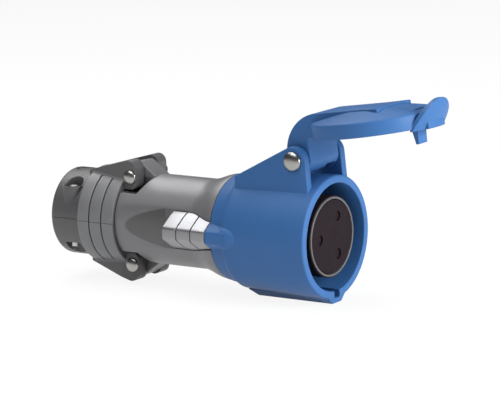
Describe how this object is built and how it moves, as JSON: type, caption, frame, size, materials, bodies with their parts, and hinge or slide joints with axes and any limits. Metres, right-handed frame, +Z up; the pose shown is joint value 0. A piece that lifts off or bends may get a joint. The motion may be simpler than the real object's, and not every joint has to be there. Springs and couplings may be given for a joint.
{
  "type": "industrial socket",
  "caption": "Free industrial socket with a round blue mouth and hinged lid, grey handle with release sliders, and a cable clamp.",
  "frame": {"origin": "centre of the round contact face inside the mouth", "axes": "+X out of the mouth along the connector, +Z up on the side of the lid's hinge, +Y to the right as seen from the handle"},
  "size_m": [0.1794, 0.0522, 0.0878],
  "materials": {
    "blue_plastic": "satin moulded",
    "grey_plastic": "satin with a slight metallic fleck",
    "dark_plastic": "fine matt",
    "pale_plastic": "satin",
    "silver_plastic": "satin silver paint",
    "steel": "plated",
    "brass": "turned",
    "black_rubber": "matt"
  },
  "bodies": {
    "body": {"front_housing": "blue_plastic", "hinge_pin": "steel", "lid_spring": "steel", "contact_carrier": "dark_plastic", "face_ring": "pale_plastic", "contact_line": "brass", "contact_neutral": "brass", "contact_earth": "brass", "terminal_screw_line": "steel", "terminal_screw_neutral": "steel", "terminal_screw_earth": "steel", "carrier_screw_1": "steel", "carrier_screw_2": "steel", "housing_seal": "black_rubber", "handle": "grey_plastic", "slider_spring_left": "steel", "slider_spring_right": "steel", "clamp_upper": "grey_plastic", "clamp_lower": "grey_plastic", "clamp_pin_upper": "steel", "clamp_pin_lower": "steel", "clamp_screw_left": "steel", "clamp_screw_right": "steel", "clamp_nut_left": "steel", "clamp_nut_right": "steel", "cable_grommet": "black_rubber"},
    "lid": {"lid": "blue_plastic", "lid_seal": "black_rubber"},
    "shutter": {"shutter": "dark_plastic"},
    "slider_left": {"slider_left": "silver_plastic"},
    "slider_right": {"slider_right": "silver_plastic"}
  },
  "joints": [
    {"name": "lid_hinge", "type": "hinge", "parent": "body", "child": "lid", "pos_m": [-0.0085, 0, 0.03235], "axis": [0, 1, 0], "range_deg": [0, 98.3]},
    {"name": "slider_left_slide", "type": "slide", "parent": "body", "child": "slider_left", "axis": [1, 0, 0], "range_m": [-0.004, 0], "stiffness_N_per_m": 300, "springref_m": 0.004},
    {"name": "slider_right_slide", "type": "slide", "parent": "body", "child": "slider_right", "axis": [1, 0, 0], "range_m": [-0.004, 0], "stiffness_N_per_m": 300, "springref_m": 0.004},
    {"name": "shutter_turn", "type": "hinge", "parent": "body", "child": "shutter", "pos_m": [0, 0, 0], "axis": [1, 0, 0], "range_deg": [-30, 0], "stiffness_Nm_per_rad": 0.01, "springref_deg": 17.19}
  ]
}
